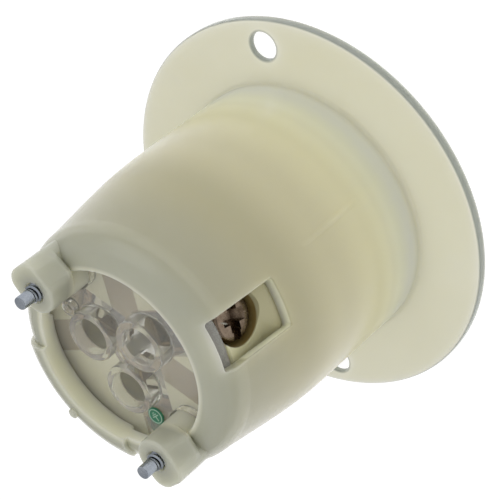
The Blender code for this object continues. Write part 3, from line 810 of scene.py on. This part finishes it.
def build_carrier(look):
    sections = [(CARRIER_BOTTOM_Z, CARRIER_FOOT_RADIUS), (30.0, CARRIER_FOOT_RADIUS)]
    sections += [(height, barrel_radius(height) - WALL - 0.08) for height in spread(36.0, 41.0, 4)]
    for share in spread(0.0, 1.0, 8):
        ease = share * share * (3 - 2 * share)
        radius = CARRIER_STEP_RADIUS + (CARRIER_RADIUS - CARRIER_STEP_RADIUS) * ease
        sections.append((CARRIER_STEP_Z + CARRIER_STEP_RISE * share, radius))
    sections += [(CARRIER_TOP_Z - 0.3, CARRIER_RADIUS), (CARRIER_TOP_Z, CARRIER_RADIUS - 0.3)]
    base = turned(pin(sections, steps=FINE), math.degrees(SCREW_LINE))
    cuts = []
    for notch in ear_notches(EAR_BOTTOM_Z - 0.3, CARRIER_TOP_Z + 1):
        cuts.append(turned(notch, math.degrees(SCREW_LINE)))
    for name in TERMINALS:
        shapes = [block(*POCKET_X, -POCKET_HALF, POCKET_HALF, POCKET_LOW, CARRIER_TOP_Z + 1 - TERMINAL_Z),
                  rod([(6.0, 2.75), (10.4, 2.75)]),
                  rod([(9.4, SCREW_HOLE_RADIUS), (HEAD_TOP, SCREW_HOLE_RADIUS),
                       (HEAD_TOP + 0.5, SCREW_HOLE_RADIUS + 0.15), (22.0, SCREW_HOLE_RADIUS + 0.15)], MEDIUM)]
        for shape in shapes:
            shape.transform(terminal_matrix(name))
            cuts.append(shape)
    mesh = carve(base, (), cuts)
    return add_piece("nylon_carrier", mesh, "housing", look, ["contact_carrier"], 30.0)


# ---- screws ----
def thread(radius, root, pitch, start, end, axis_x=False, steps=24):
    """Screw thread from start to end: a helical ridge on a round core, tapering out at both ends."""
    bm = bmesh.new()
    turns = (end - start) / pitch
    rows = int(turns * steps)
    ridge = ((0.0, 0.0), (0.35, 1.0), (0.55, 1.0), (0.9, 0.0))
    lines = []
    for row in range(rows + 1):
        angle = 2 * math.pi * row / steps
        along = start + pitch * row / steps
        fade = min(1.0, row / steps, (rows - row) / steps)
        line = []
        for part, rise in ridge:
            distance = root + (radius - root) * rise * fade
            place = (math.cos(angle) * distance, math.sin(angle) * distance, along + part * pitch)
            if axis_x:
                place = (place[2], place[0], place[1])
            line.append(bm.verts.new(Vector(place) * MM))
        lines.append(line)
    for first, second in zip(lines, lines[1:]):
        for index in range(len(ridge) - 1):
            bm.faces.new((first[index], second[index], second[index + 1], first[index + 1]))
        bm.faces.new((first[-1], second[-1], second[0], first[0]))
    bm.faces.new(lines[0])
    bm.faces.new(reversed(lines[-1]))
    return close_mesh(bm)


def cross_recess(tip, depth, width, reach):
    """Cutter for a cross recess seen from +X: two wedges that narrow inwards."""
    cutters = []
    for across, upright in ((True, False), (False, True)):
        rings = []
        for distance, half_long, half_short in ((tip - depth, reach * 0.45, width * 0.3),
                                                (tip + 0.4, reach, width * 0.5)):
            long_y = half_long if across else half_short
            long_z = half_long if upright else half_short
            rings.append([(distance, y, z) for y, z in rectangle(-long_y, long_y, -long_z, long_z)])
        cutters.append(loft(rings))
    return cutters


def build_terminal_screw(name, look, slot):
    """Pan head with a slot and a cross recess, and its thread as a second piece."""
    head = [(HEAD_UNDERSIDE, HEAD_RADIUS - 0.15), (HEAD_UNDERSIDE + 0.15, HEAD_RADIUS)]
    head += [(HEAD_TOP - 1.1 + y, HEAD_RADIUS - 1.3 + x) for x, y in arc(0, 0, 1.0, 0, 70, 7)]
    head += [(HEAD_TOP - 0.05, HEAD_RADIUS - 1.4), (HEAD_TOP, HEAD_RADIUS - 2.2)]
    sections = [(SHANK_START, 1.75), (SHANK_START + 0.4, SHANK_RADIUS - 0.35),
                (HEAD_UNDERSIDE - 0.01, SHANK_RADIUS - 0.35)] + head
    cuts = cross_recess(HEAD_TOP, 2.2, 2.6, 3.0)
    cuts.append(block(HEAD_TOP - 2.1, HEAD_TOP + 1, -HEAD_RADIUS - 1, HEAD_RADIUS + 1, -0.95, 0.95))
    mesh = carve(rod(sections, 72), (), cuts)
    mesh.transform(Matrix.Rotation(math.radians(SLOT_TURN_DEG[name]), 4, "X"))
    mesh.transform(terminal_matrix(name))
    body = "screw_" + name
    add_piece("terminal_screw_head_" + name, mesh, body, look, ["terminal_screw_" + name], 30.0, 0.08)
    ridge = thread(SHANK_RADIUS, SHANK_RADIUS - 0.45, TERMINAL_PITCH, SHANK_START + 0.5,
                   HEAD_UNDERSIDE - 1.0, True)
    ridge.transform(terminal_matrix(name))
    add_piece("terminal_screw_thread_" + name, ridge, body, look)


def build_assembly_screw(side, tag, look):
    """Long thread-cutting screw: pan head in front, threads and a smooth pilot tip behind the ear."""
    low, high = SCREW_LOW.z, SCREW_HIGH.z
    crest_end = high - 2.5
    pilot = 1.3
    core = 1.38
    head = [(low, 1.5)] + [(low + 1.2 - y, 2.1 + x) for x, y in arc(0, 0, 1.2, 90, 0, 6)]
    sections = head + [(low + 2.1, 3.3), (low + 2.11, core), (crest_end, core),
                       (crest_end + 0.2, pilot), (high - 0.25, pilot), (high - 0.08, pilot - 0.08),
                       (high, pilot - 0.25)]
    flute = block(0.55, 3.0, -0.1, 3.0, EAR_TOP_Z - 3.0, crest_end + 0.3)
    slot = block(-4, 4, -0.45, 0.45, low - 1, low + 0.9)
    ridge = thread(1.75, core - 0.1, ASSEMBLY_PITCH, EAR_TOP_Z - 5.5, crest_end - 0.5)
    mesh = carve(pin(sections), [ridge], [flute, slot])
    angle = math.degrees(SCREW_LINE)
    x, y = polar(side * SCREW_OFFSET, angle)
    turned(mesh, angle + 60.0, (x, y, 0.0))
    return add_piece("long_screw_" + tag, mesh, "housing", look,
                     ["assembly_screw_" + tag], 30.0)


# ---- ground mark ----
def build_ground_mark(green, pale):
    """Green disc with the ground symbol in a ring."""
    low, high = MARK_LOW.z, MARK_HIGH.z
    centre = (MARK_LOW + MARK_HIGH) / 2
    radius = (MARK_HIGH.x - MARK_LOW.x) / 2
    disc = pin([(low, radius), (high - 0.12, radius), (high - 0.02, radius - 0.1)], centre.xy, 64)
    add_piece("ground_mark_disc", disc, "housing", green, ["ground_mark"])
    bottom, top = high - 0.05, high + 0.03
    ring = lathe(rectangle(radius - 0.42, radius - 0.24, bottom, top), 64)
    bars = [(-0.1, 0.1, 0.0, 1.1), (-0.85, 0.85, -0.1, 0.1), (-0.55, 0.55, -0.48, -0.3),
            (-0.25, 0.25, -0.85, -0.68)]
    symbol = carve(ring, [block(*bar, bottom, top) for bar in bars])
    turned(symbol, math.degrees(SCREW_LINE) + 90.0, (centre.x, centre.y, 0.0))
    add_piece("ground_mark_symbol", symbol, "housing", pale)


# ---- front ----
def build_face(look):
    """Front insert with three curved blade slots, one of them hooked, and two screw holes."""
    front, rear = FACE_FRONT_Z, FACE_REAR_Z
    profile = [(front + 0.5 - y, FACE_RADIUS - 0.5 + x) for x, y in arc(0, 0, 0.5, 90, 0, 6)]
    base = pin(profile + [(rear, FACE_RADIUS)], steps=FINE)
    cuts = []
    for name, terminal in TERMINALS.items():
        rings = []
        for height, grow in ((front - 1, 0.5), (front, 0.35), (front + 0.35, 0.0), (rear + 1, 0.0)):
            inner, outer = SLOT_RADIUS - SLOT_HALF_WIDTH - grow, SLOT_RADIUS + SLOT_HALF_WIDTH + grow
            half = SLOT_HALF_DEG + grow * 4
            outline = arc(0, 0, outer, -half, half, 24) + arc(0, 0, inner, half, -half, 24)
            rings.append((outline, height))
        cuts.append(turned(stack(rings), terminal["tube"]))
        if name == "ground":
            hook = block(SLOT_RADIUS - 3.2, SLOT_RADIUS, 2.2, 4.0, front - 1, rear + 1)
            cuts.append(turned(hook, terminal["tube"]))
    for side in (1, -1):
        screw_hole = [(front - 1, 4.0), (front, 3.9), (front + 0.2, 3.7), (3.7, 3.7), (3.71, 1.95),
                      (rear + 1, 1.95)]
        cuts.append(pin(screw_hole, (side * SCREW_OFFSET, 0.0)))
    cuts.append(lathe(rectangle(*FACE_GROOVE_R, front - 0.5, front + 0.3), MEDIUM))
    mesh = turned(carve(base, (), cuts), math.degrees(SCREW_LINE))
    return add_piece("nylon_face", mesh, "housing", look, ["receptacle_face"], 30.0)


# ---- stage, light and camera ----
CAMERA_PLACE = Vector((0.15798, -0.21926, 0.24809))
CAMERA_AIM = Vector((0.0002, 0.00014, 0.01959))
CAMERA_ROLL_DEG = -129.14
CAMERA_LENS = 130.55


def add_camera():
    camera = bpy.data.objects.new("camera", bpy.data.cameras.new("camera"))
    bpy.context.scene.collection.objects.link(camera)
    camera.data.lens = CAMERA_LENS
    camera.data.sensor_width = 36.0
    camera.data.clip_start = 0.01
    looking = (CAMERA_AIM - CAMERA_PLACE).to_track_quat("-Z", "Y").to_matrix().to_4x4()
    roll = Matrix.Rotation(math.radians(CAMERA_ROLL_DEG), 4, "Z")
    camera.matrix_world = Matrix.Translation(CAMERA_PLACE) @ looking @ roll
    bpy.context.scene.camera = camera


def add_light(name, place, size, power):
    light = bpy.data.lights.new(name, "AREA")
    light.shape = "RECTANGLE"
    light.size, light.size_y = size
    light.energy = power
    lamp = bpy.data.objects.new(name, light)
    bpy.context.scene.collection.objects.link(lamp)
    lamp.location = place
    lamp.rotation_euler = (Vector((0.0, 0.0, 0.03)) - Vector(place)).to_track_quat("-Z", "Y").to_euler()


def build_stage():
    """Pale floor, a sky brighter overhead than at the horizon, and two soft lamps."""
    floor_mesh = bpy.data.meshes.new("floor")
    half = 3.0
    corners = [(x, y, 0.0) for x, y in rectangle(-half, half, -half, half)]
    floor_mesh.from_pydata(corners, [], [(0, 1, 2, 3)])
    floor = bpy.data.objects.new("floor", floor_mesh)
    bpy.context.scene.collection.objects.link(floor)
    look, _, shader = new_material("floor")
    shader.inputs["Base Color"].default_value = (0.3, 0.3, 0.3, 1.0)
    shader.inputs["Roughness"].default_value = 1.0
    shader.inputs["Specular IOR Level"].default_value = 0.0
    shader.inputs["Emission Color"].default_value = (1.0, 1.0, 1.0, 1.0)
    shader.inputs["Emission Strength"].default_value = 0.86
    floor_mesh.materials.append(look)
    floor.location.z = -0.0003
    world = bpy.data.worlds.new("studio")
    world.use_nodes = True
    tree = world.node_tree
    tree.nodes["Background"].inputs["Color"].default_value = (1.0, 1.0, 1.0, 1.0)
    place = tree.nodes.new("ShaderNodeTexCoord")
    parts = tree.nodes.new("ShaderNodeSeparateXYZ")
    tree.links.new(place.outputs["Generated"], parts.inputs["Vector"])
    strength = ramp(tree, parts.outputs["Z"], 0.35, 0.85, 0.0, 1.0)
    tree.links.new(strength, tree.nodes["Background"].inputs["Strength"])
    bpy.context.scene.world = world
    bpy.context.scene.view_settings.view_transform = "Standard"
    add_light("key", (0.75, 0.1, 0.55), (0.7, 0.7), 1.0)
    add_light("fill", (-0.3, -0.7, 0.7), (0.6, 0.6), 0.4)


# ---- the model ----
def build_model():
    housing_nylon = nylon("housing_nylon", HOUSING_COLOURS, 7.0, 0.16, housing_painted_light_and_shade)
    inner = nylon("carrier_nylon", INNER_COLOURS, 1.2, 0.3, carrier_painted_reflection)
    clear = clear_plastic("retainer_polycarbonate")
    zinc = metal("zinc_plate", (0.40, 0.43, 0.47), (0.24, 0.27, 0.32), 0.16)
    brass = metal("terminal_brass", (0.46, 0.33, 0.17), (0.22, 0.15, 0.09), 0.2)
    # painted shade: the line screw's brass is far darker than the clamps' brass, for the shade deep in its
    # hole; its darker clouds are tarnish
    shaded_screw_brass = metal("shaded_screw_brass", (0.27, 0.21, 0.16), (0.10, 0.07, 0.045), 0.14)
    # painted light: the neutral and ground pressure plates are painted pale, unlike the line's steel plate,
    # so that their bores look lit
    pale_plate = painted("plate_painted_light", (0.90, 0.88, 0.72), (0.82, 0.79, 0.62), 0.0, 0.35)
    nickel = metal("nickel_plate", (0.66, 0.64, 0.60), (0.50, 0.48, 0.44), 0.2)
    bronze = metal("contact_bronze", (0.64, 0.40, 0.24), (0.45, 0.27, 0.15), 0.22)
    spring_steel = metal("spring_steel", (0.50, 0.50, 0.52), (0.36, 0.36, 0.38), 0.24, (1.0, 1.0, 0.1))
    green_screw = painted("green_lacquer", (0.03, 0.26, 0.12), (0.06, 0.34, 0.18), 0.5, 0.25)
    mark_green = painted("mark_green", (0.02, 0.17, 0.09), (0.03, 0.23, 0.12), 0.0, 0.35)
    mark_pale = painted("mark_line", (0.45, 0.62, 0.50), (0.38, 0.55, 0.44), 0.0, 0.4)

    build_housing(housing_nylon)
    build_retainer(clear)
    build_carrier(inner)
    build_face(inner)
    build_ground_mark(mark_green, mark_pale)
    for side, tag in ((1, "upper"), (-1, "lower")):
        build_assembly_screw(side, tag, zinc)
    screw_looks = {"line": (shaded_screw_brass, "brass"), "neutral": (nickel, "nickel"),
                   "ground": (green_screw, "green_steel")}
    for name in TERMINALS:
        build_terminal_screw(name, *screw_looks[name])
        refined("brass_clamp_" + name, "clamp_body_" + name, "housing", brass, 0.15)
        # painted light: pale plates for neutral and ground, so that their bores look lit
        plate_look = spring_steel if name == "line" else pale_plate
        refined("steel_plate_" + name, "pressure_plate_" + name, "plate_" + name,
                plate_look, 0.12)
        refined("bronze_contact_" + name, "contact_" + name, "housing", bronze, 0.1)
        refined("steel_clip_" + name, "backup_spring_" + name, "housing",
                spring_steel, 0.08)


build_model()
build_stage()
add_camera()
